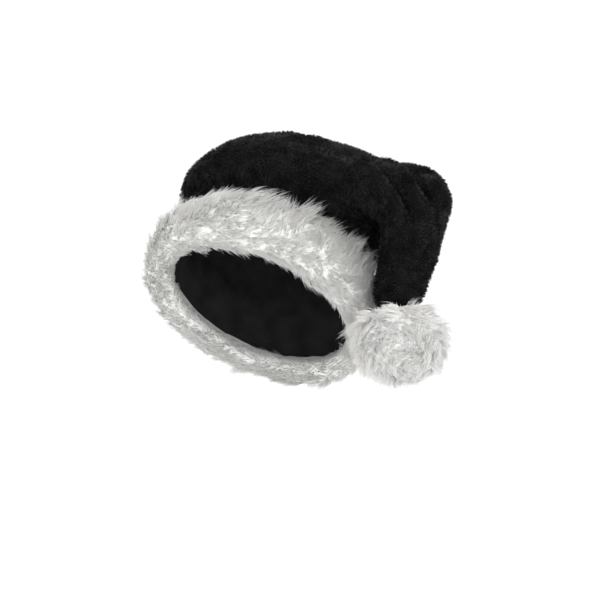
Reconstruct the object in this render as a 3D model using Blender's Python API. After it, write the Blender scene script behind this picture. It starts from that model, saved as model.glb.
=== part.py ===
"""A plush santa hat in the form that it has when worn: rim tipped back, point folded over to the wearer's left.

The frame is in metres. +Z is up, -Y is the way the wearer faces and +X is the wearer's left.
The origin is the middle of the opening at the rim.
"""

import math
import random
from typing import NamedTuple

import bmesh
import bpy
import numpy as np
from mathutils import Vector

# The head opening
HEAD_BREADTH = 0.156
HEAD_LENGTH = 0.196
RIM_TILT = 34.0  # degrees that the front of the rim stands above its back

# The crown, a hollow cone of plush
PLUSH_WALL = 0.003
CROWN_RISE = 0.160  # top of the crown above the rim's middle
FOLD_REACH = 0.054  # how far the folded part stands out past the fur band
TAIL_DROP = 0.012  # how far the point hangs below the rim's middle
FOLD_DEPTH = 0.009
FOLD_WIDTH = 0.011

# The fur band round the rim
BAND_HEIGHT = 0.050
BAND_DEPTH = 0.012  # backing and underfur, without the locks
BAND_LOCK = 0.008  # how far a lock stands out
HEM_LIP = 0.005  # the fur that is turned in under the rim
TAIL_CLEARANCE = 0.002  # between the band's locks and the folded part

# The pompom
POMPOM_BREADTH = 0.086
POMPOM_HEIGHT = 0.078
POMPOM_LOCK = 0.013

# What touches keeps this gap
SEAM_GAP = 0.0003

# How finely the forms are cut
AROUND = 44
RINGS_BETWEEN_SECTIONS = 2
POMPOM_SUBDIVISIONS = 3

TILT = math.radians(RIM_TILT)
RIM_AXIS = np.array((0.0, math.sin(TILT), math.cos(TILT)))
RIM_BACK = np.array((0.0, math.cos(TILT), -math.sin(TILT)))
HALF_BREADTH = HEAD_BREADTH / 2 + HEM_LIP + PLUSH_WALL
HALF_LENGTH = HEAD_LENGTH / 2 + HEM_LIP + PLUSH_WALL
BAND_TOP = RIM_AXIS * BAND_HEIGHT
BAND_SIDE = BAND_DEPTH + BAND_LOCK + TAIL_CLEARANCE
POMPOM_RADIUS = POMPOM_BREADTH / 2


class Section(NamedTuple):
    """One cut through the crown. Its plane holds an inner point, under the fold, and an outer point over it."""

    inner_side: float
    inner_up: float
    outer_side: float
    outer_up: float
    back: float  # of the middle, from the band's top, as a share of the half length
    depth: float  # half the front-to-back size, as a share of the half length
    tilt: float  # share of the rim's tilt


# side: -1 wearer's right of the crown, 1 its left, 2 clear of the band, 3 the fold's farthest reach.
# up: -1 the point's drop, 0 the rim's middle, 1 the band's top, 2 the crown's top.
SECTIONS = (
    Section(1.10, 1.15, -1.06, 1.20, 0.060, 0.96, 0.82),
    Section(1.45, 1.26, -0.91, 1.53, 0.095, 0.96, 0.68),
    Section(1.70, 1.30, -0.41, 1.83, 0.085, 0.88, 0.50),
    Section(1.80, 1.31, 0.20, 1.98, 0.115, 0.81, 0.26),
    Section(1.88, 1.32, 0.75, 1.88, 0.150, 0.70, 0.12),
    Section(1.95, 1.31, 2.00, 1.78, 0.162, 0.60, 0.0),
    Section(2.01, 1.29, 2.62, 1.74, 0.162, 0.54, 0.0),
    Section(2.03, 1.22, 3.03, 1.52, 0.152, 0.46, 0.0),
    Section(2.02, 1.06, 3.00, 1.24, 0.090, 0.38, 0.0),
    Section(2.00, 0.80, 2.89, 1.00, 0.035, 0.30, 0.0),
    Section(2.00, 0.49, 2.80, 0.56, -0.022, 0.24, 0.0),
    Section(2.02, 0.20, 2.77, 0.20, -0.088, 0.18, 0.0),
    Section(2.18, 0.00, 2.65, 0.00, -0.146, 0.11, 0.0),
    Section(2.27, -1.00, 2.55, -1.00, -0.184, 0.066, 0.0),
)


class BandSection(NamedTuple):
    """The crown's size inside the fur band, as shares of its size at the rim."""

    along: float  # share of the band's height
    breadth: float
    length: float


BAND_SECTIONS = (
    BandSection(0.0, 1.0, 1.0),
    BandSection(0.5, 1.005, 0.995),
    BandSection(1.0, 0.98, 0.94),
)
# The heights in the band, as shares, where both the crown and the groove that holds it have a ring
BAND_RINGS = (0.0, 0.24, 0.48, 0.72, 0.94)


class Fold(NamedTuple):
    """A crease, or a ridge where depth is negative, from one station and angle of the crown to another.

    A station counts sections from the rim, 0. Angles are in degrees: 0 under the fold, 90 front, 180 over it, 270 back.
    """

    start_station: float
    start_angle: float
    end_station: float
    end_angle: float
    depth: float  # share of FOLD_DEPTH
    width: float  # share of FOLD_WIDTH


FOLDS = (
    Fold(7.2, 210, 10.6, 95, 1.0, 0.9),
    Fold(6.7, 190, 10.0, 85, -0.4, 0.9),
    Fold(8.7, 172, 10.8, 128, 0.7, 0.8),
    Fold(2.9, 55, 3.0, 150, 0.7, 0.9),
    Fold(3.5, 60, 3.7, 140, -0.4, 1.4),
    Fold(11.2, 150, 11.2, 205, 0.5, 0.6),
    Fold(4.2, 225, 8.2, 262, 0.8, 1.2),
    Fold(3.4, 262, 6.8, 292, 0.7, 1.1),
    Fold(9.0, 240, 11.5, 215, 0.6, 0.8),
    Fold(12.0, 90, 13.4, 90, 0.4, 0.5),
    Fold(12.0, 140, 13.4, 140, 0.4, 0.5),
    Fold(12.0, 250, 13.4, 250, 0.4, 0.5),
)

SIDE_SCALE = ((-1, -HALF_BREADTH), (1, HALF_BREADTH), (2, HALF_BREADTH + BAND_SIDE))
SIDE_SCALE += ((3, HALF_BREADTH + BAND_SIDE + FOLD_REACH),)
UP_SCALE = ((-1, -TAIL_DROP), (0, 0.0), (1, BAND_TOP[2]), (2, CROWN_RISE))


def on_scale(value, scale):
    """The length that a value stands for on a scale of (value, length) marks, carried on past its ends."""
    marks, lengths = zip(*scale)
    step = sum(value > mark for mark in marks[1:-1])
    share = (value - marks[step]) / (marks[step + 1] - marks[step])
    return lengths[step] + share * (lengths[step + 1] - lengths[step])


def crown_frames():
    """Each section as a row: middle, vector from the inner side to the middle, vector from the middle to the back."""
    frames = []
    for row in BAND_SECTIONS:
        across = np.array((-HALF_BREADTH * row.breadth, 0.0, 0.0))
        frames.append((BAND_TOP * row.along, across, RIM_BACK * HALF_LENGTH * row.length))
    for row in SECTIONS:
        inner = np.array((on_scale(row.inner_side, SIDE_SCALE), 0.0, on_scale(row.inner_up, UP_SCALE)))
        outer = np.array((on_scale(row.outer_side, SIDE_SCALE), 0.0, on_scale(row.outer_up, UP_SCALE)))
        middle = (inner + outer) / 2
        middle[1] = BAND_TOP[1] + row.back * HALF_LENGTH
        tilt = TILT * row.tilt
        back = np.array((0.0, math.cos(tilt), -math.sin(tilt))) * row.depth * HALF_LENGTH
        frames.append((middle, (outer - inner) / 2, back))
    return np.array(frames)


FRAMES = crown_frames()
LAST_STATION = len(FRAMES) - 1


def frame_at(station):
    """The section's three vectors at any station, on a smooth curve through the rows."""
    first = min(int(station), LAST_STATION - 1)
    t = station - first
    before, a, b, after = (FRAMES[min(max(first + k, 0), LAST_STATION)] for k in (-1, 0, 1, 2))
    if first == 0:
        before = 2 * a - b
    if first == LAST_STATION - 1:
        after = 2 * b - a
    slope_a, slope_b = (b - before) / 2, (after - a) / 2
    return (
        (2 * t**3 - 3 * t**2 + 1) * a
        + (t**3 - 2 * t**2 + t) * slope_a
        + (3 * t**2 - 2 * t**3) * b
        + (t**3 - t**2) * slope_b
    )


def smooth_point(station, degrees):
    """A point of the crown's outside before its folds."""
    middle, across, back = frame_at(station)
    angle = math.radians(degrees)
    return middle - across * math.cos(angle) - back * math.sin(angle)


def normals_of(grid):
    """Outward unit normals of a grid of rings."""
    along = np.gradient(grid, axis=0)
    around = np.roll(grid, -1, axis=1) - np.roll(grid, 1, axis=1)
    normals = np.cross(along, around)
    return normals / np.linalg.norm(normals, axis=2, keepdims=True)


def folded(grid, normals):
    """The grid with each crease pressed in along its line."""
    samples = 24
    pressed = np.zeros(grid.shape[:2])
    for fold in FOLDS:
        line = [
            smooth_point(
                fold.start_station + t * (fold.end_station - fold.start_station),
                fold.start_angle + t * (fold.end_angle - fold.start_angle),
            )
            for t in np.linspace(0, 1, samples)
        ]
        away = np.linalg.norm(grid[:, :, None] - np.array(line), axis=3)
        nearest = away.argmin(axis=2)
        fade = np.sin(np.pi * (nearest + 1) / (samples + 1)) ** 0.6
        bell = np.exp(-((away.min(axis=2) / (fold.width * FOLD_WIDTH)) ** 2))
        pressed += fold.depth * FOLD_DEPTH * fade * bell
    return grid - normals * pressed[:, :, None]


def crown_stations():
    """The stations of the crown's rings: those that the band holds, then even steps to the point."""
    band = [2 * along for along in BAND_RINGS]
    steps = int((LAST_STATION - 2) * RINGS_BETWEEN_SECTIONS)
    return band + [2 + (step + 1) / RINGS_BETWEEN_SECTIONS for step in range(steps)]


def crown_surfaces():
    """The crown's outside and its normals, ring by ring."""
    degrees = [360 * k / AROUND for k in range(AROUND)]
    grid = np.array([[smooth_point(s, d) for d in degrees] for s in crown_stations()])
    outside = folded(grid, normals_of(grid))
    return outside, normals_of(outside)


OUTSIDE, NORMALS = crown_surfaces()


def ring_faces(first, second, count):
    """Quads between two rings whose vertices start at these numbers."""
    return [(first + k, first + (k + 1) % count, second + (k + 1) % count, second + k) for k in range(count)]


def tube_faces(rings, count, start=0):
    return [face for k in range(rings - 1) for face in ring_faces(start + k * count, start + (k + 1) * count, count)]


def closing_fan(first, count, tip):
    return [(first + k, first + (k + 1) % count, tip) for k in range(count)]


def mesh_object(name, points, faces, material):
    """An object made of these points and faces, with its faces pointing out."""
    mesh = bpy.data.meshes.new(name)
    mesh.from_pydata([tuple(point) for point in points], [], faces)
    work = bmesh.new()
    work.from_mesh(mesh)
    bmesh.ops.recalc_face_normals(work, faces=work.faces)
    work.to_mesh(mesh)
    work.free()
    mesh.shade_smooth()
    mesh.materials.append(material)
    made = bpy.data.objects.new(name, mesh)
    bpy.context.scene.collection.objects.link(made)
    return made


def closed_tube(outer, inner):
    """Points and faces of a wall between two tubes that are open at the rim and closed at the point."""
    count = outer.shape[1]
    outer_tip, inner_tip = outer[-1].mean(axis=0), inner[-1].mean(axis=0)
    points = np.vstack((outer.reshape(-1, 3), inner.reshape(-1, 3), outer_tip, inner_tip))
    inside = len(outer) * count
    faces = tube_faces(len(outer), count) + tube_faces(len(inner), count, inside)
    faces += ring_faces(0, inside, count)
    faces += closing_fan((len(outer) - 1) * count, count, len(points) - 2)
    faces += closing_fan(inside + (len(inner) - 1) * count, count, len(points) - 1)
    return points, faces


def make_crown(material):
    """The plush cone, hollow down to just short of its point."""
    solid_rings = 2
    inside = (OUTSIDE - NORMALS * PLUSH_WALL)[:-solid_rings]
    points, faces = closed_tube(OUTSIDE, inside)
    return mesh_object("crown", points, faces, material)


def band_base(along):
    """The ring of the crown's outside, and its normals, at a share of the band's height."""
    stations = [2 * share for share in BAND_RINGS] + [2 + 1 / RINGS_BETWEEN_SECTIONS]
    station = 2 * along
    step = sum(station > mark for mark in stations[1:-1])
    share = (station - stations[step]) / (stations[step + 1] - stations[step])
    share = max(share, 0.0)
    ring = OUTSIDE[step] * (1 - share) + OUTSIDE[step + 1] * share
    normals = NORMALS[step] * (1 - share) + NORMALS[step + 1] * share
    return ring + RIM_AXIS * BAND_HEIGHT * min(along, 0.0), normals


def band_outline():
    """The band's cut, as (share of the height, distance out from the plush), round the outside and into the groove."""
    behind = -(PLUSH_WALL + SEAM_GAP)
    under = -SEAM_GAP / BAND_HEIGHT
    outside = [
        (1.00, 0.30 * BAND_DEPTH),
        (0.97, 0.60 * BAND_DEPTH),
        (0.84, 0.85 * BAND_DEPTH),
        (0.66, 1.00 * BAND_DEPTH),
        (0.46, 1.10 * BAND_DEPTH),
        (0.26, 1.12 * BAND_DEPTH),
        (0.08, 1.00 * BAND_DEPTH),
        (-0.07, 0.60 * BAND_DEPTH),
        (-0.12, 0.0),
    ]
    lip = [
        (-0.09, behind - 0.6 * HEM_LIP),
        (0.02, behind - HEM_LIP),
        (0.18, behind - HEM_LIP),
        (0.27, behind - 0.5 * HEM_LIP),
    ]
    groove = [(BAND_RINGS[1], behind), (under, behind), (under, SEAM_GAP)]
    groove += [(along, SEAM_GAP) for along in BAND_RINGS[1:]]
    return outside, lip + groove


def raise_lock(work, face, tip, size):
    """Draws one face out into a lock that ends in a small face of its own."""
    made = bmesh.ops.extrude_discrete_faces(work, faces=[face])["faces"][0]
    middle = made.calc_center_median()
    for vert in made.verts:
        vert.co = middle + (vert.co - middle) * size + tip


def lock_sway(step, row):
    """How far a lock of the band leans to the wearer's left, in lock widths: in long waves with swirls in them."""
    angle = 2 * math.pi * step / AROUND
    return 0.45 + 0.5 * math.sin(2 * angle + 0.5 * row) + 0.35 * math.sin(5 * angle - 0.9 * row)


def make_band(material):
    """The fur band: a backing that holds the crown's edge in a groove, with rows of locks on its outside."""
    outside, rest = band_outline()
    rings = []
    for along, out in outside + rest:
        ring, normals = band_base(along)
        rings.append(ring + normals * out)
    rings = np.array(rings)
    points = rings.reshape(-1, 3)
    faces = tube_faces(len(rings), AROUND) + ring_faces((len(rings) - 1) * AROUND, 0, AROUND)
    band = mesh_object("fur_band", points, faces, material)

    draw = random.Random(5)
    rows = len(outside) - 3
    work = bmesh.new()
    work.from_mesh(band.data)
    plain_faces = list(work.faces)
    for row in range(rows):
        down = row / (rows - 1)
        length = BAND_LOCK * (0.55 + 0.45 * down)
        rise = 0.6 - 1.4 * down  # locks at the top lean up, at the bottom down
        for k in range(AROUND):
            face = plain_faces[(row + 1) * AROUND + k]
            normal = face.normal.copy()
            up = Vector(RIM_AXIS)
            round_rim = up.cross(normal).normalized()
            lock_width = face.calc_perimeter() / 4
            tip = normal * length * draw.uniform(0.7, 1.0) + up * rise * length
            tip += round_rim * lock_width * (lock_sway(k, row) + draw.uniform(-0.15, 0.15))
            raise_lock(work, face, tip, draw.uniform(0.2, 0.35))
    work.to_mesh(band.data)
    work.free()
    return band


def pompom_middle():
    """The pompom hangs on the crown's point, just clear of the band."""
    side = on_scale(2, SIDE_SCALE) + 0.74 * POMPOM_RADIUS
    point = FRAMES[-1][0]
    return np.array((side, point[1] - 0.20 * POMPOM_RADIUS, point[2] - 0.22 * POMPOM_HEIGHT))


def make_pompom(material):
    """A round core with a lock on each face, and a socket that takes the crown's point."""
    middle = pompom_middle()
    draw = random.Random(9)
    work = bmesh.new()
    bmesh.ops.create_icosphere(work, subdivisions=POMPOM_SUBDIVISIONS, radius=POMPOM_RADIUS - POMPOM_LOCK)
    entry = Vector(FRAMES[-2][0] - middle).normalized()
    clear = math.cos(math.radians(38))
    for face in list(work.faces):
        out = face.calc_center_median().normalized()
        if out.dot(entry) > clear:
            continue
        sway = Vector((draw.uniform(-1, 1), draw.uniform(-1, 1), draw.uniform(-1.3, 0.7)))
        sway -= out * sway.dot(out)
        tip = out * POMPOM_LOCK * draw.uniform(0.8, 1.0) + sway * POMPOM_LOCK * 0.25
        raise_lock(work, face, tip, draw.uniform(0.3, 0.45))
    bmesh.ops.scale(work, verts=work.verts, vec=(1, 1, POMPOM_HEIGHT / POMPOM_BREADTH))
    bmesh.ops.translate(work, verts=work.verts, vec=middle)
    mesh = bpy.data.meshes.new("pompom")
    work.to_mesh(mesh)
    work.free()
    mesh.shade_smooth()
    mesh.materials.append(material)
    pompom = bpy.data.objects.new("pompom", mesh)
    bpy.context.scene.collection.objects.link(pompom)

    socket_rings = 5 * RINGS_BETWEEN_SECTIONS
    grown = (OUTSIDE + NORMALS * SEAM_GAP)[-socket_rings:]
    grown[-1] += (FRAMES[-1][0] - FRAMES[-2][0]) / np.linalg.norm(FRAMES[-1][0] - FRAMES[-2][0]) * SEAM_GAP
    points = np.vstack((grown.reshape(-1, 3), grown[0].mean(axis=0), grown[-1].mean(axis=0)))
    faces = tube_faces(socket_rings, AROUND)
    faces += closing_fan(0, AROUND, len(points) - 2)
    faces += closing_fan((socket_rings - 1) * AROUND, AROUND, len(points) - 1)
    cutter = mesh_object("socket_cutter", points, faces, material)
    cutter.hide_render = True
    cutter.display_type = "WIRE"
    socket = pompom.modifiers.new("socket", "BOOLEAN")
    socket.operation = "DIFFERENCE"
    socket.object = cutter
    return pompom


def surface(name, colour, roughness):
    material = bpy.data.materials.new(name)
    material.use_nodes = True
    shader = material.node_tree.nodes["Principled BSDF"]
    shader.inputs["Base Color"].default_value = (*colour, 1.0)
    shader.inputs["Roughness"].default_value = roughness
    shader.inputs["Metallic"].default_value = 0.0
    return material


def main():
    for old in list(bpy.data.objects):
        bpy.data.objects.remove(old)
    black_plush = surface("black_plush", (0.012, 0.012, 0.014), 0.9)
    white_fur = surface("white_fur", (0.82, 0.82, 0.80), 0.8)
    make_crown(black_plush)
    make_band(white_fur)
    make_pompom(white_fur)


main()
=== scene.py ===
"""The looks of a plush santa hat: a black short-pile crown, with long white fur on its band and pompom."""

import math
from typing import NamedTuple

import bmesh
import bpy
import numpy as np
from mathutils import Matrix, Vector, noise
from mathutils.bvhtree import BVHTree
from mathutils.kdtree import KDTree


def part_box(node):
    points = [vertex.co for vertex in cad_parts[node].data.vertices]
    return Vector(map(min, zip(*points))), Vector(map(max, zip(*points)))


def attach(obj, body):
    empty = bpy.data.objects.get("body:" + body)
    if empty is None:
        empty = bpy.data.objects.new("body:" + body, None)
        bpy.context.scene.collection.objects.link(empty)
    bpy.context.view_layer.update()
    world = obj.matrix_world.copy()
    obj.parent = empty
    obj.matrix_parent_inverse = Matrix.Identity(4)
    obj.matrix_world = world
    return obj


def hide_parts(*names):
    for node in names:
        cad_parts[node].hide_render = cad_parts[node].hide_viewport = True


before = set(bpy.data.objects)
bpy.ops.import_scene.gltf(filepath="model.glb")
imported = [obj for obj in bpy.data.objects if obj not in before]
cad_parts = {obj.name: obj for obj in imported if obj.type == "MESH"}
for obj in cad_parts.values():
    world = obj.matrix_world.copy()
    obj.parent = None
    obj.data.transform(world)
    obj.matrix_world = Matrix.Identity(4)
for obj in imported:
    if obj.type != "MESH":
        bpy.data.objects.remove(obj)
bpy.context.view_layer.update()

# The photograph's view: its angle, how far off the camera stands, and what a pixel spans at the hat
VIEW_AZIMUTH = math.radians(27.0)
VIEW_DISTANCE = 2.5
IMAGE_SIZE = 600
PIXEL = 0.0009
ORIGIN_PIXEL = (258.9, 308.9)
SENSOR = 36.0

# The rim's plane, which passes through the origin with its front side up
RIM_TILT = math.radians(34.0)
RIM_AXIS = np.array((0.0, math.sin(RIM_TILT), math.cos(RIM_TILT)))
RIM_BACK = np.array((0.0, math.cos(RIM_TILT), -math.sin(RIM_TILT)))
BAND_HEIGHT = 0.050
RIM_HALF_BREADTH = 0.086
RIM_HALF_LENGTH = 0.106

VIEW_RIGHT = np.array((math.cos(VIEW_AZIMUTH), math.sin(VIEW_AZIMUTH), 0.0))
VIEW_BACK = np.array((math.sin(VIEW_AZIMUTH), -math.cos(VIEW_AZIMUTH), 0.0))
UP = np.array((0.0, 0.0, 1.0))


class Stroke(NamedTuple):
    """A ridge or, below zero, a crease of the crown, along pixels of the photograph. Sizes in millimetres."""

    pixels: tuple
    rise: float
    width: float
    over: bool = False  # goes on over the top, out of the camera's sight


STROKES = (
    Stroke(((366, 157), (374, 163), (381, 175), (388, 191), (398, 209), (404, 226)), 6.0, 5.5),
    Stroke(((371, 160), (378, 165), (386, 174), (396, 187), (407, 206), (414, 224)), -14.0, 4.5, True),
    Stroke(((386, 163), (394, 167), (403, 177), (412, 190), (420, 203), (431, 216)), 7.0, 5.5, True),
    Stroke(((412, 170), (419, 180), (427, 193), (436, 212)), -9.0, 6.0),
    Stroke(((418, 168), (428, 171), (437, 178)), -4.5, 8.0, True),
    Stroke(((430, 178), (440, 187), (446, 200), (443, 214)), 2.5, 6.0),
    Stroke(((444, 236), (437, 239), (428, 248), (420, 262)), -6.0, 4.0),
    Stroke(((190, 191), (207, 183), (228, 178), (254, 177)), -4.5, 4.5),
    Stroke(((196, 178), (222, 170), (252, 168), (286, 171)), 3.0, 6.0),
    Stroke(((300, 168), (322, 176), (344, 190), (362, 207)), -4.5, 7.0),
    Stroke(((330, 160), (352, 172), (366, 188)), 3.0, 8.0),
    Stroke(((290, 136), (318, 140), (345, 150)), 2.5, 12.0, True),
    Stroke(((370, 190), (379, 206), (383, 230), (384, 262)), -4.0, 7.0),
)
# How far a stroke goes on over the top
OVER_THE_TOP = 0.030

# How deep the pile is, in metres
PLUSH_PILE = 0.0040
FUR_PILE = 0.019
POMPOM_PILE = 0.017
# How far light seeps through white hair, in metres
SEEP = 0.0016
# Hair starts at least this far from the crown
ROOT_CLEARANCE = 0.0021

# The crown's lower edge: faces this near the rim's plane that look this squarely down
EDGE_REACH = 0.0015
EDGE_FACING = -0.7

# The crown's tufts: how many are scattered, how thick they are and how deep they root. Their pile is two
# pieces, parted at this X
TUFTS = 88000
TUFT_RADIUS = 0.00052
TUFT_ROOT_DEPTH = 0.0005
PARTING = 0.035

# How hair gathers: it draws in to its lock by its pull, and strays by its ruffle times the pile's depth
SMALL_LOCK_PULL = 0.25
SMALL_LOCK_RUFFLE = 0.10
HAIR_RUFFLE = 0.075
# The share of hairs that stick out of their lock, and how much longer they are
STRAY_SHARE = 0.04
STRAY_LENGTH = 1.15
# What is left of a hair that would cross the crown's wall
STUB = 0.4
# Hair whose tip is nearer the rim's middle axis than this share is cut down, to keep the opening clear
OPENING_EDGE = 0.945
OPENING_CUT = 0.5

# Both sources of chance are seeded, so every run gives the same hat
draw = np.random.default_rng(12)
noise.seed_set(3)


def unit(vectors):
    return vectors / np.maximum(np.linalg.norm(vectors, axis=-1, keepdims=True), 1e-12)


def smooth_step(value, low, high):
    t = np.clip((value - low) / (high - low), 0.0, 1.0)
    return t * t * (3 - 2 * t)


def noise_at(points, scale, seed):
    """A smooth random vector at each point. Scale is the size of its waves, in metres."""
    shift = Vector((seed * 3.7, seed * 5.1, seed * 7.3))
    return np.array([noise.noise_vector(Vector(point) / scale + shift) for point in points])


def photo_ray(x, y):
    """Where the camera stands, and the direction of one pixel of the photograph."""
    target = VIEW_RIGHT * (x - ORIGIN_PIXEL[0]) * PIXEL - UP * (y - ORIGIN_PIXEL[1]) * PIXEL
    eye = camera_place()
    return Vector(eye), Vector(target - eye).normalized()


def camera_place():
    shift_right = (IMAGE_SIZE / 2 - ORIGIN_PIXEL[0]) * PIXEL
    shift_up = (ORIGIN_PIXEL[1] - IMAGE_SIZE / 2) * PIXEL
    return VIEW_BACK * VIEW_DISTANCE + VIEW_RIGHT * shift_right + UP * shift_up


def linked(name, mesh, *materials):
    for material in materials:
        mesh.materials.append(material)
    piece = bpy.data.objects.new(name, mesh)
    bpy.context.scene.collection.objects.link(piece)
    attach(piece, "root")
    return piece


def mesh_from_arrays(name, points, quads, triangles):
    mesh = bpy.data.meshes.new(name)
    corners = np.concatenate((quads.ravel(), triangles.ravel())).astype(np.int32)
    starts = np.concatenate((np.arange(len(quads)) * 4, len(quads) * 4 + np.arange(len(triangles)) * 3))
    mesh.vertices.add(len(points))
    mesh.vertices.foreach_set("co", points.astype(np.float32).ravel())
    mesh.loops.add(len(corners))
    mesh.loops.foreach_set("vertex_index", corners)
    mesh.polygons.add(len(starts))
    mesh.polygons.foreach_set("loop_start", starts.astype(np.int32))
    mesh.update(calc_edges=True)
    return mesh


def baked(source, *modifiers):
    """A new mesh: the source mesh with these (type, settings) modifiers applied."""
    holder = bpy.data.objects.new("holder", source)
    bpy.context.scene.collection.objects.link(holder)
    for kind, settings in modifiers:
        modifier = holder.modifiers.new(kind, kind)
        for key, value in settings.items():
            setattr(modifier, key, value)
    graph = bpy.context.evaluated_depsgraph_get()
    mesh = bpy.data.meshes.new_from_object(holder.evaluated_get(graph))
    bpy.data.objects.remove(holder)
    return mesh


def tree_of(mesh):
    return BVHTree.FromPolygons([v.co for v in mesh.vertices], [tuple(p.vertices) for p in mesh.polygons])


def scatter(mesh, count, wanted=None):
    """Random points on a mesh, even by area, with their smooth normals. Wanted marks the faces to use."""
    mesh.calc_loop_triangles()
    corners = np.zeros(len(mesh.loop_triangles) * 3, np.int32)
    mesh.loop_triangles.foreach_get("vertices", corners)
    corners = corners.reshape(-1, 3)
    if wanted is not None:
        owner = np.zeros(len(corners), np.int32)
        mesh.loop_triangles.foreach_get("polygon_index", owner)
        corners = corners[wanted[owner]]
    places = np.zeros(len(mesh.vertices) * 3)
    mesh.vertices.foreach_get("co", places)
    places = places.reshape(-1, 3)
    normals = np.zeros(len(mesh.vertices) * 3)
    mesh.vertex_normals.foreach_get("vector", normals)
    normals = normals.reshape(-1, 3)
    a, b, c = (places[corners[:, k]] for k in range(3))
    area = np.linalg.norm(np.cross(b - a, c - a), axis=1)
    pick = draw.choice(len(corners), size=count, p=area / area.sum())
    u, v = draw.random((2, count))
    flip = u + v > 1
    u, v = np.where(flip, 1 - u, u), np.where(flip, 1 - v, v)
    share = np.stack((1 - u - v, u, v), axis=1)[:, :, None]
    chosen = corners[pick]
    return (places[chosen] * share).sum(axis=1), unit((normals[chosen] * share).sum(axis=1))


def spaced(points, gap):
    """Indices of points that lie at least a gap from each other."""
    kept = []
    held = np.empty((len(points), 3))
    for index, point in enumerate(points):
        if not kept or (((held[: len(kept)] - point) ** 2).sum(axis=1) > gap * gap).all():
            held[len(kept)] = point
            kept.append(index)
    return np.array(kept)


def nearest(points, centres):
    tree = KDTree(len(centres))
    for index, centre in enumerate(centres):
        tree.insert(centre, index)
    tree.balance()
    return np.array([tree.find(point)[1] for point in points])


def guides(roots, normals, flow, length, lean_root, lean_tip, curl, droop, steps):
    """Curved paths that leave each root and lean over into the flow. Leans are radians from the normal."""
    across = np.cross(normals, flow)
    path = [roots]
    for step in range(steps):
        t = (step + 0.5) / steps
        turn = (curl * t)[:, None]
        heading = flow * np.cos(turn) + across * np.sin(turn)
        lean = (lean_root + (lean_tip - lean_root) * t)[:, None]
        direction = normals * np.cos(lean) + heading * np.sin(lean) - UP * droop * t
        path.append(path[-1] + unit(direction) * (length / steps)[:, None])
    return np.stack(path, axis=1)


def gathered(roots, locks, owner, pull, size, ruffle):
    """Paths that follow their lock's path and draw in towards it at the tip."""
    t = np.linspace(0, 1, locks.shape[1])
    lock = locks[owner]
    offset = roots - lock[:, 0]
    run = (lock - lock[:, :1]) * size[:, None, None]
    stray = draw.normal(0, ruffle, (len(roots), 1, 3)) * t[None, :, None] ** 1.5
    return lock[:, :1] + run + offset[:, None] * (1 - pull * t ** 1.3)[None, :, None] + stray


def hair_arrays(paths, radius):
    """Points, quads and triangles of one closed three-sided tapered hair along each path."""
    count, rings = len(paths), paths.shape[1] - 1
    along = unit(paths[:, 1:] - paths[:, :-1])
    side = np.cross(along[:, 0], np.array((0.31, 0.52, 0.79)))
    taper = np.linspace(1.0, 0.42, rings)
    points = np.empty((count, rings * 3 + 1, 3))
    for ring in range(rings):
        forward = along[:, ring]
        flat = unit(side - (side * forward).sum(axis=1, keepdims=True) * forward)
        upright = np.cross(forward, flat)
        for corner in range(3):
            angle = corner * 2 * math.pi / 3
            out = flat * math.cos(angle) + upright * math.sin(angle)
            points[:, ring * 3 + corner] = paths[:, ring] + out * (radius * taper[ring])[:, None]
    points[:, -1] = paths[:, -1]
    quads, last = [], (rings - 1) * 3
    for ring in range(rings - 1):
        for corner in range(3):
            after = (corner + 1) % 3
            quads.append((ring * 3 + corner, ring * 3 + after, ring * 3 + 3 + after, ring * 3 + 3 + corner))
    triangles = [(last + corner, last + (corner + 1) % 3, rings * 3) for corner in range(3)] + [(2, 1, 0)]
    first = (np.arange(count) * (rings * 3 + 1))[:, None, None]
    quads = np.array(quads).reshape(1, -1, 4) + first
    triangles = np.array(triangles)[None] + first
    return points.reshape(-1, 3), quads.reshape(-1, 4), triangles.reshape(-1, 3)


def hair_piece(name, paths, radius, material):
    piece = linked(name, mesh_from_arrays(name, *hair_arrays(paths, radius)), material)
    piece.data.shade_smooth()
    return piece


def shader_nodes(name, roughness, sheen, specular):
    material = bpy.data.materials.new(name)
    material.use_nodes = True
    nodes, links = material.node_tree.nodes, material.node_tree.links
    shader = nodes["Principled BSDF"]
    shader.inputs["Roughness"].default_value = roughness
    shader.inputs["Specular IOR Level"].default_value = specular
    shader.inputs["Sheen Weight"].default_value = sheen
    shader.inputs["Sheen Roughness"].default_value = 0.5
    place = nodes.new("ShaderNodeTexCoord")
    return material, nodes, links, shader, place.outputs["Object"]


def mottled(nodes, links, shader, place, marks, scale):
    """Base colour from a noise that runs through (position, colour) marks."""
    cloud = nodes.new("ShaderNodeTexNoise")
    cloud.inputs["Scale"].default_value = scale
    cloud.inputs["Detail"].default_value = 3.0
    links.new(place, cloud.inputs["Vector"])
    ramp = nodes.new("ShaderNodeValToRGB")
    for element, (position, colour) in zip(ramp.color_ramp.elements, marks):
        element.position = position
        element.color = (*colour, 1.0)
    links.new(cloud.outputs["Fac"], ramp.inputs["Fac"])
    links.new(ramp.outputs["Color"], shader.inputs["Base Color"])


def pile_material(name, dark, light, scale, roughness, sheen, specular, glow=0.0):
    """Mottled pile. Glow is the share of light that seeps through a hair instead of stopping at its skin."""
    material, nodes, links, shader, place = shader_nodes(name, roughness, sheen, specular)
    shader.inputs["Subsurface Weight"].default_value = glow
    shader.inputs["Subsurface Radius"].default_value = (1.0, 1.0, 1.0)
    shader.inputs["Subsurface Scale"].default_value = SEEP
    mottled(nodes, links, shader, place, ((0.35, dark), (0.65, light)), scale)
    return material


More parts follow.
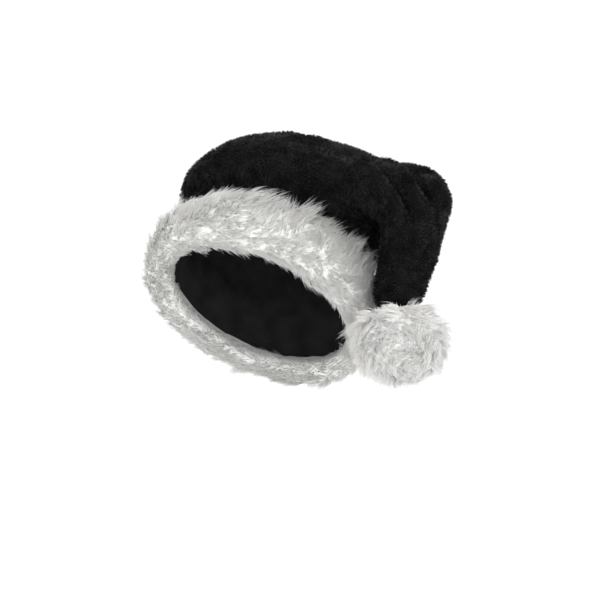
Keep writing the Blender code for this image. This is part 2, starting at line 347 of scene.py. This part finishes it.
def knit_material():
    """The crown's bare inner side: fine black knit with its rows of stitches."""
    material, nodes, links, shader, place = shader_nodes("knit_backing", 0.9, 0.0, 0.1)
    mottled(nodes, links, shader, place, ((0.3, (0.012, 0.012, 0.013)), (0.7, (0.022, 0.022, 0.024))), 60.0)
    rows = nodes.new("ShaderNodeTexWave")
    rows.bands_direction = "Z"
    rows.inputs["Scale"].default_value = 260.0
    rows.inputs["Distortion"].default_value = 1.2
    columns = nodes.new("ShaderNodeTexWave")
    columns.bands_direction = "DIAGONAL"
    columns.inputs["Scale"].default_value = 320.0
    columns.inputs["Distortion"].default_value = 1.0
    both = nodes.new("ShaderNodeMath")
    both.operation = "MULTIPLY"
    bump = nodes.new("ShaderNodeBump")
    bump.inputs["Strength"].default_value = 0.5
    bump.inputs["Distance"].default_value = 0.0006
    for wave in (rows, columns):
        links.new(place, wave.inputs["Vector"])
    links.new(rows.outputs["Fac"], both.inputs[0])
    links.new(columns.outputs["Fac"], both.inputs[1])
    links.new(both.outputs["Value"], bump.inputs["Height"])
    links.new(bump.outputs["Normal"], shader.inputs["Normal"])
    return material


def crown_surface():
    """The crown's wall, subdivided from its solid. Faces outside have material 0, and those inside have 1."""
    work = bmesh.new()
    work.from_mesh(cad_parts["crown"].data)
    bmesh.ops.remove_doubles(work, verts=work.verts, dist=1e-5)
    axis = Vector(RIM_AXIS)
    for face in work.faces:
        face.material_index = 1
        face.tag = abs(face.calc_center_median() @ axis) < EDGE_REACH and face.normal @ axis < EDGE_FACING
    farthest = max(work.verts, key=lambda vert: vert.co.x)
    reached = [face for face in farthest.link_faces if not face.tag]
    while reached:
        face = reached.pop()
        if face.tag or face.material_index == 0:
            continue
        face.material_index = 0
        reached += [other for edge in face.edges for other in edge.link_faces if other is not face]
    bmesh.ops.join_triangles(
        work,
        faces=work.faces,
        cmp_materials=True,
        angle_face_threshold=math.radians(60),
        angle_shape_threshold=math.radians(80),
    )
    mesh = bpy.data.meshes.new("crown_grid")
    work.to_mesh(mesh)
    work.free()
    return baked(mesh, ("SUBSURF", {"levels": 2, "render_levels": 2}))


def stroke_lines(mesh):
    """Each stroke's pixels, set on the side of the crown that faces the camera."""
    tree = tree_of(mesh)
    lines = []
    for stroke in STROKES:
        hits = [tree.ray_cast(*photo_ray(*pixel))[0] for pixel in stroke.pixels]
        hits = [np.array(hit) for hit in hits if hit is not None]
        if stroke.over:
            hits.insert(0, hits[0] - VIEW_BACK * OVER_THE_TOP)
        line = [a + (b - a) * t for a, b in zip(hits, hits[1:]) for t in np.linspace(0, 1, 10)]
        lines.append((np.array(line), stroke.rise / 1000, stroke.width / 1000))
    return lines


def shape_crown(mesh):
    """Works the strokes and soft lumps into both sides of the wall, which stays as thick as it was."""
    count = len(mesh.vertices)
    places = np.zeros(count * 3)
    mesh.vertices.foreach_get("co", places)
    places = places.reshape(-1, 3)
    normals = np.zeros(count * 3)
    mesh.vertex_normals.foreach_get("vector", normals)
    normals = normals.reshape(-1, 3)
    outside = np.zeros(count, bool)
    for polygon in mesh.polygons:
        if polygon.material_index == 0:
            outside[list(polygon.vertices)] = True
    rise = np.zeros(count)
    for line, height, width in stroke_lines(mesh):
        away = np.linalg.norm(places[:, None] - line[None], axis=2)
        closest = away.argmin(axis=1)
        fade = np.sin(np.pi * (closest + 1) / (len(line) + 1)) ** 0.5
        rise += height * fade * np.exp(-((away.min(axis=1) / width) ** 2))
    lumps = noise_at(places, 0.022, 1)[:, 0] * 0.0016 + noise_at(places, 0.009, 2)[:, 0] * 0.0007
    above_band = smooth_step(places @ RIM_AXIS, BAND_HEIGHT * 0.7, BAND_HEIGHT * 1.3)
    rise += lumps * above_band - PLUSH_PILE * 0.35 * above_band
    outward = np.where(outside[:, None], normals, -normals)
    places = places + outward * rise[:, None]
    mesh.vertices.foreach_set("co", places.ravel())
    mesh.update()


def make_crown():
    plush = pile_material(
        "plush_ground", (0.004, 0.004, 0.0045), (0.009, 0.009, 0.010),
        scale=60.0, roughness=0.95, sheen=0.0, specular=0.05,
    )
    mesh = crown_surface()
    shape_crown(mesh)
    mesh.shade_smooth()
    cloth = linked("crown_cloth", mesh, plush, knit_material())
    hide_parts("crown")
    return cloth


def make_crown_pile(cloth):
    """Short tufts all over the crown's outside, lying in soft patches."""
    outside = np.array([polygon.material_index == 0 for polygon in cloth.data.polygons])
    roots, normals = scatter(cloth.data, TUFTS, outside)
    along = roots @ RIM_AXIS
    hidden = (along < BAND_HEIGHT * 0.8) & (rim_share(roots) < 1.12)
    low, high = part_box("pompom")
    middle = np.array((low + high) / 2)
    hidden |= np.linalg.norm(roots - middle, axis=1) < (high.z - low.z) * 0.36
    roots, normals = roots[~hidden], normals[~hidden]
    centres = roots[: len(roots) // 8]
    pull_to = centres[nearest(roots, centres)] - roots
    patch = noise_at(roots, 0.013, 3) + 0.6 * noise_at(roots, 0.034, 4)
    patch += np.array((0.25, 0.0, -0.35))
    patch -= (patch * normals).sum(axis=1, keepdims=True) * normals
    heading = normals * 0.85 + patch * 1.1 + pull_to * 180
    heading += draw.normal(0, 0.09, roots.shape)
    length = PLUSH_PILE * draw.uniform(0.75, 1.15, len(roots))
    tips = roots + unit(heading) * length[:, None]
    paths = np.stack((roots - normals * TUFT_ROOT_DEPTH, tips), axis=1)
    # Its colour is partly the pile's own uneven black and partly painted highlight: the light patches of the
    # mottle stand in for tips catching the light.
    material = pile_material(
        "black_pile_painted_highlights", (0.0025, 0.0025, 0.0028), (0.022, 0.022, 0.024),
        scale=105.0, roughness=0.8, sheen=0.035, specular=0.08,
    )
    on_left = roots[:, 0] > PARTING
    for name, part in (("crown_pile_left", on_left), ("crown_pile_right", ~on_left)):
        pile = hair_piece(name, paths[part], np.full(part.sum(), TUFT_RADIUS), material)


def underfur(node, name, voxel, rounds, shrink, material):
    """A soft closed body in the form of the solid, under the long hairs."""
    mesh = baked(
        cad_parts[node].data.copy(),
        ("REMESH", {"mode": "VOXEL", "voxel_size": voxel}),
        ("SMOOTH", {"factor": 0.5, "iterations": rounds}),
        ("DISPLACE", {"strength": -shrink, "mid_level": 0.0}),
    )
    mesh.shade_smooth()
    # The material it is given is darker and warmer than the hair: painted shade of deep fur.
    piece = linked(name, mesh, material)
    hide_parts(node)
    return piece


def clear_of(points, tree, gap):
    return np.array([tree.find_nearest(Vector(point))[3] > gap for point in points])


def rim_angle(points):
    """Where points are round the rim, in degrees from the front. The wearer's left is above zero."""
    return np.degrees(np.arctan2(points[:, 0], -(points @ RIM_BACK)))


def band_flow(roots, normals):
    """How the band's fur lies: round the rim at the wearer's right and front, and up on the left."""
    across, back = roots[:, 0], roots @ RIM_BACK
    angle = rim_angle(roots)
    height = roots @ RIM_AXIS / BAND_HEIGHT
    sideways = np.stack((across, np.zeros(len(roots)), np.zeros(len(roots))), axis=1)
    radial = unit(sideways + RIM_BACK * back[:, None])
    round_rim = np.cross(RIM_AXIS, radial)
    upward = smooth_step(angle, -30, 35) * 62 + 4
    behind = smooth_step(np.abs(angle), 125, 165)
    upward = upward * (1 - behind) + 35 * behind
    swept = smooth_step(height, 0.6, 1.0) * (1 - smooth_step(angle, -20, 10))
    upward -= 22 * swept
    low_down = 1 - smooth_step(height, -0.1, 0.45)
    upward = upward * (1 - low_down) - 8 * low_down
    swirl = noise_at(roots, 0.030, 5)[:, 0] * 65 + noise_at(roots, 0.013, 6)[:, 1] * 20
    turn = np.radians(upward + swirl * (1 - np.maximum(0.6 * low_down, 0.4 * swept)))[:, None]
    flow = round_rim * np.cos(turn) + RIM_AXIS * np.sin(turn)
    return unit(flow - (flow * normals).sum(axis=1, keepdims=True) * normals)


def rim_share(points):
    """How far out points are from the rim's middle axis, where 1 is the crown's edge."""
    return np.hypot(points[:, 0] / RIM_HALF_BREADTH, (points @ RIM_BACK) / RIM_HALF_LENGTH)


def band_growth(roots, normals):
    """The band's length factor and extra lean in degrees.

    The hair is short at the lower edge. At the upper edge it lies flat on the wearer's right and stands up on
    the left.
    """
    height = roots @ RIM_AXIS / BAND_HEIGHT
    angle = rim_angle(roots)
    upper_edge = smooth_step(height, 0.55, 0.95)
    to_left = smooth_step(angle, -20, 20)
    far_left = smooth_step(angle, 55, 85) * (1 - smooth_step(angle, 120, 150))
    length = (0.68 + 0.32 * smooth_step(height, -0.05, 0.45)) * (1 - 0.35 * upper_edge * (1 - to_left))
    length *= 1 + (0.12 * to_left + 0.50 * far_left) * upper_edge
    return length, upper_edge * (26 * (1 - to_left) - 24 * to_left)


def pompom_growth(roots, normals):
    """The pompom's hair is longest on top, and nowhere leans more than it does elsewhere."""
    return 1.0 + 0.15 * (normals @ UP), np.zeros(len(roots))


def pompom_flow(roots, normals):
    """How the pompom's fur lies: in soft swirls, combed outwards and drawn down by its weight."""
    flow = noise_at(roots, 0.034, 7) * 1.3 + noise_at(roots, 0.012, 8) * 0.5 - UP * 0.6 + VIEW_RIGHT * 0.35
    return unit(flow - (flow * normals).sum(axis=1, keepdims=True) * normals)


class Fur(NamedTuple):
    """One growth of hair. Lengths in metres, leans in degrees."""

    count: int
    pile: float
    lock_gap: float
    strand_gap: float
    lean_root: float
    lean_tip: float
    curl: float
    droop: float
    pull: float
    radius: float
    steps: int


def crosses(paths, tree):
    """Which paths run through the crown's wall."""
    found = np.zeros(len(paths), bool)
    for index, path in enumerate(paths):
        for a, b in zip(path[:-1], path[1:]):
            step = Vector(b - a)
            if tree.ray_cast(Vector(a), step.normalized(), step.length)[0] is not None:
                found[index] = True
                break
    return found


def grow(base, fur, flow_rule, growth_rule, crown_tree):
    """Hair paths in two sizes of lock on a base. None starts at the crown or runs through its wall."""
    roots, normals = scatter(base.data, fur.count)
    kept = clear_of(roots, crown_tree, ROOT_CLEARANCE)
    roots, normals = roots[kept], normals[kept]

    big = spaced(roots[:6000], fur.lock_gap)
    count = len(big)
    factor, lean = growth_rule(roots[big], normals[big])
    length = fur.pile * draw.uniform(0.75, 1.2, count) * factor
    lean_root = np.radians(fur.lean_root + lean + draw.normal(0, 9, count))
    lean_tip = np.radians(fur.lean_tip + lean * 0.6 + draw.normal(0, 13, count))
    curl = draw.normal(0, fur.curl, count)
    flow = flow_rule(roots[big], normals[big])
    big_paths = guides(
        roots[big], normals[big], flow, length, lean_root, lean_tip, curl, fur.droop, fur.steps
    )

    small = spaced(roots[:20000], fur.strand_gap)
    owner = nearest(roots[small], roots[big])
    size = draw.uniform(0.8, 1.1, len(small))
    ruffle = fur.pile * SMALL_LOCK_RUFFLE
    small_paths = gathered(roots[small], big_paths, owner, SMALL_LOCK_PULL, size, ruffle)

    owner = nearest(roots, roots[small])
    size = draw.uniform(0.65, 1.08, len(roots))
    stray = draw.random(len(roots)) < STRAY_SHARE
    size[stray] *= STRAY_LENGTH
    paths = gathered(roots, small_paths, owner, fur.pull, size, fur.pile * HAIR_RUFFLE)
    blocked = crosses(paths, crown_tree)
    stubs = paths[blocked, :1] + (paths[blocked] - paths[blocked, :1]) * STUB
    paths = np.concatenate((paths[~blocked], stubs[~crosses(stubs, crown_tree)]))
    over_opening = rim_share(paths[:, -1]) < OPENING_EDGE
    short = paths[:, :1] + (paths - paths[:, :1]) * OPENING_CUT
    return np.where(over_opening[:, None, None], short, paths)


def make_band_fur(material, ground, crown_tree):
    base = underfur("fur_band", "fur_band_underfur", voxel=0.0035, rounds=40, shrink=0.0, material=ground)
    long_hair = Fur(
        count=27500, pile=FUR_PILE, lock_gap=0.0110, strand_gap=0.0032, lean_root=58, lean_tip=92,
        curl=0.7, droop=0.03, pull=0.34, radius=0.00030, steps=3,
    )
    paths = grow(base, long_hair, band_flow, band_growth, crown_tree)
    angle, half_front = rim_angle(paths[:, 0]), 55
    parts = (
        ("fur_band_hair_front", np.abs(angle) < half_front),
        ("fur_band_hair_left", angle >= half_front),
        ("fur_band_hair_right", angle <= -half_front),
    )
    for name, part in parts:
        radius = long_hair.radius * draw.uniform(0.75, 1.2, part.sum())
        hair_piece(name, paths[part], radius, material)
    short_hair = Fur(
        count=6500, pile=FUR_PILE * 0.55, lock_gap=0.0090, strand_gap=0.0035, lean_root=30, lean_tip=75,
        curl=0.8, droop=0.03, pull=0.40, radius=0.00038, steps=2,
    )
    paths = grow(base, short_hair, band_flow, band_growth, crown_tree)
    hair_piece("fur_band_down", paths, np.full(len(paths), short_hair.radius), material)


def make_pompom_fur(material, ground, crown_tree):
    base = underfur("pompom", "pompom_underfur_painted_shade", voxel=0.0030, rounds=36, shrink=0.0005, material=ground)
    long_hair = Fur(
        count=8800, pile=POMPOM_PILE, lock_gap=0.0105, strand_gap=0.0032, lean_root=42, lean_tip=90,
        curl=0.9, droop=0.06, pull=0.40, radius=0.00030, steps=3,
    )
    paths = grow(base, long_hair, pompom_flow, pompom_growth, crown_tree)
    radius = long_hair.radius * draw.uniform(0.75, 1.2, len(paths))
    hair_piece("pompom_hair", paths, radius, material)
    short_hair = Fur(
        count=2600, pile=POMPOM_PILE * 0.6, lock_gap=0.0090, strand_gap=0.0034, lean_root=15, lean_tip=55,
        curl=0.8, droop=0.1, pull=0.40, radius=0.00038, steps=2,
    )
    paths = grow(base, short_hair, pompom_flow, pompom_growth, crown_tree)
    hair_piece("pompom_down", paths, np.full(len(paths), short_hair.radius), material)


def make_stage():
    """A pale floor well below the held-up hat, and soft white light all round, from above and in front."""
    drop, radius = 0.34, 4.0
    bpy.ops.mesh.primitive_circle_add(vertices=96, radius=radius, fill_type="NGON", location=(0, 0, -drop))
    floor = bpy.context.object
    floor.name = "floor"
    material = bpy.data.materials.new("pale_floor")
    material.use_nodes = True
    shader = material.node_tree.nodes["Principled BSDF"]
    shader.inputs["Base Color"].default_value = (0.4, 0.4, 0.4, 1.0)
    shader.inputs["Roughness"].default_value = 0.9
    shader.inputs["Emission Color"].default_value = (1.0, 1.0, 1.0, 1.0)
    shader.inputs["Emission Strength"].default_value = 0.64
    floor.data.materials.append(material)

    world = bpy.data.worlds.new("studio")
    bpy.context.scene.world = world
    world.use_nodes = True
    background = world.node_tree.nodes["Background"]
    background.inputs["Color"].default_value = (1.0, 1.0, 1.0, 1.0)
    background.inputs["Strength"].default_value = 1.15

    for name, place, size, power in (
        ("key", (1.4, -1.2, 0.2), 1.6, 9.0),
        ("top", (0.0, 0.1, 1.7), 1.2, 16.0),
    ):
        light = bpy.data.lights.new(name, "AREA")
        light.shape = "DISK"
        light.size = size
        light.energy = power
        lamp = bpy.data.objects.new(name, light)
        bpy.context.scene.collection.objects.link(lamp)
        lamp.location = place
        lamp.rotation_euler = (-Vector(place)).to_track_quat("-Z", "Y").to_euler()


def make_camera():
    data = bpy.data.cameras.new("camera")
    data.sensor_width = SENSOR
    data.lens = SENSOR * VIEW_DISTANCE / (IMAGE_SIZE * PIXEL)
    data.clip_start = 0.1
    data.clip_end = 50.0
    camera = bpy.data.objects.new("camera", data)
    bpy.context.scene.collection.objects.link(camera)
    camera.location = camera_place()
    camera.rotation_euler = Vector(-VIEW_BACK).to_track_quat("-Z", "Y").to_euler()
    bpy.context.scene.camera = camera


make_camera()
make_stage()
bpy.context.scene.view_settings.view_transform = "Standard"
crown = make_crown()
make_crown_pile(crown)
crown_walls = tree_of(crown.data)
hair = {"scale": 30.0, "roughness": 0.9, "sheen": 0.0, "specular": 0.15}
body = {"scale": 30.0, "roughness": 0.9, "sheen": 0.0, "specular": 0.2}
# Band and pompom are one white fur in two copies: the band's is darker, painted shade for the dimmer light on
# its front.
band_white_painted_shade = pile_material("band_fur", (0.68, 0.675, 0.65), (0.74, 0.735, 0.72), **hair, glow=0.35)
# The underfur is darker and warmer than the hair: painted shade, so bare patches look like fur deep in
# shadow.
band_ground_painted_shade = pile_material("band_underfur_painted_shade", (0.58, 0.565, 0.53), (0.66, 0.645, 0.61), **body)
# The pompom's copy is much brighter: painted light, as if lit from below and from the right.
pompom_white_painted_light = pile_material("pompom_fur", (0.95, 0.94, 0.915), (0.99, 0.99, 0.975), **hair, glow=0.4)
# The pompom's underfur is painted shade too, darker and warmer than its hair.
pompom_ground_painted_shade = pile_material("pompom_underfur_painted_shade", (0.72, 0.705, 0.66), (0.80, 0.785, 0.75), **body)
make_band_fur(band_white_painted_shade, band_ground_painted_shade, crown_walls)
make_pompom_fur(pompom_white_painted_light, pompom_ground_painted_shade, crown_walls)
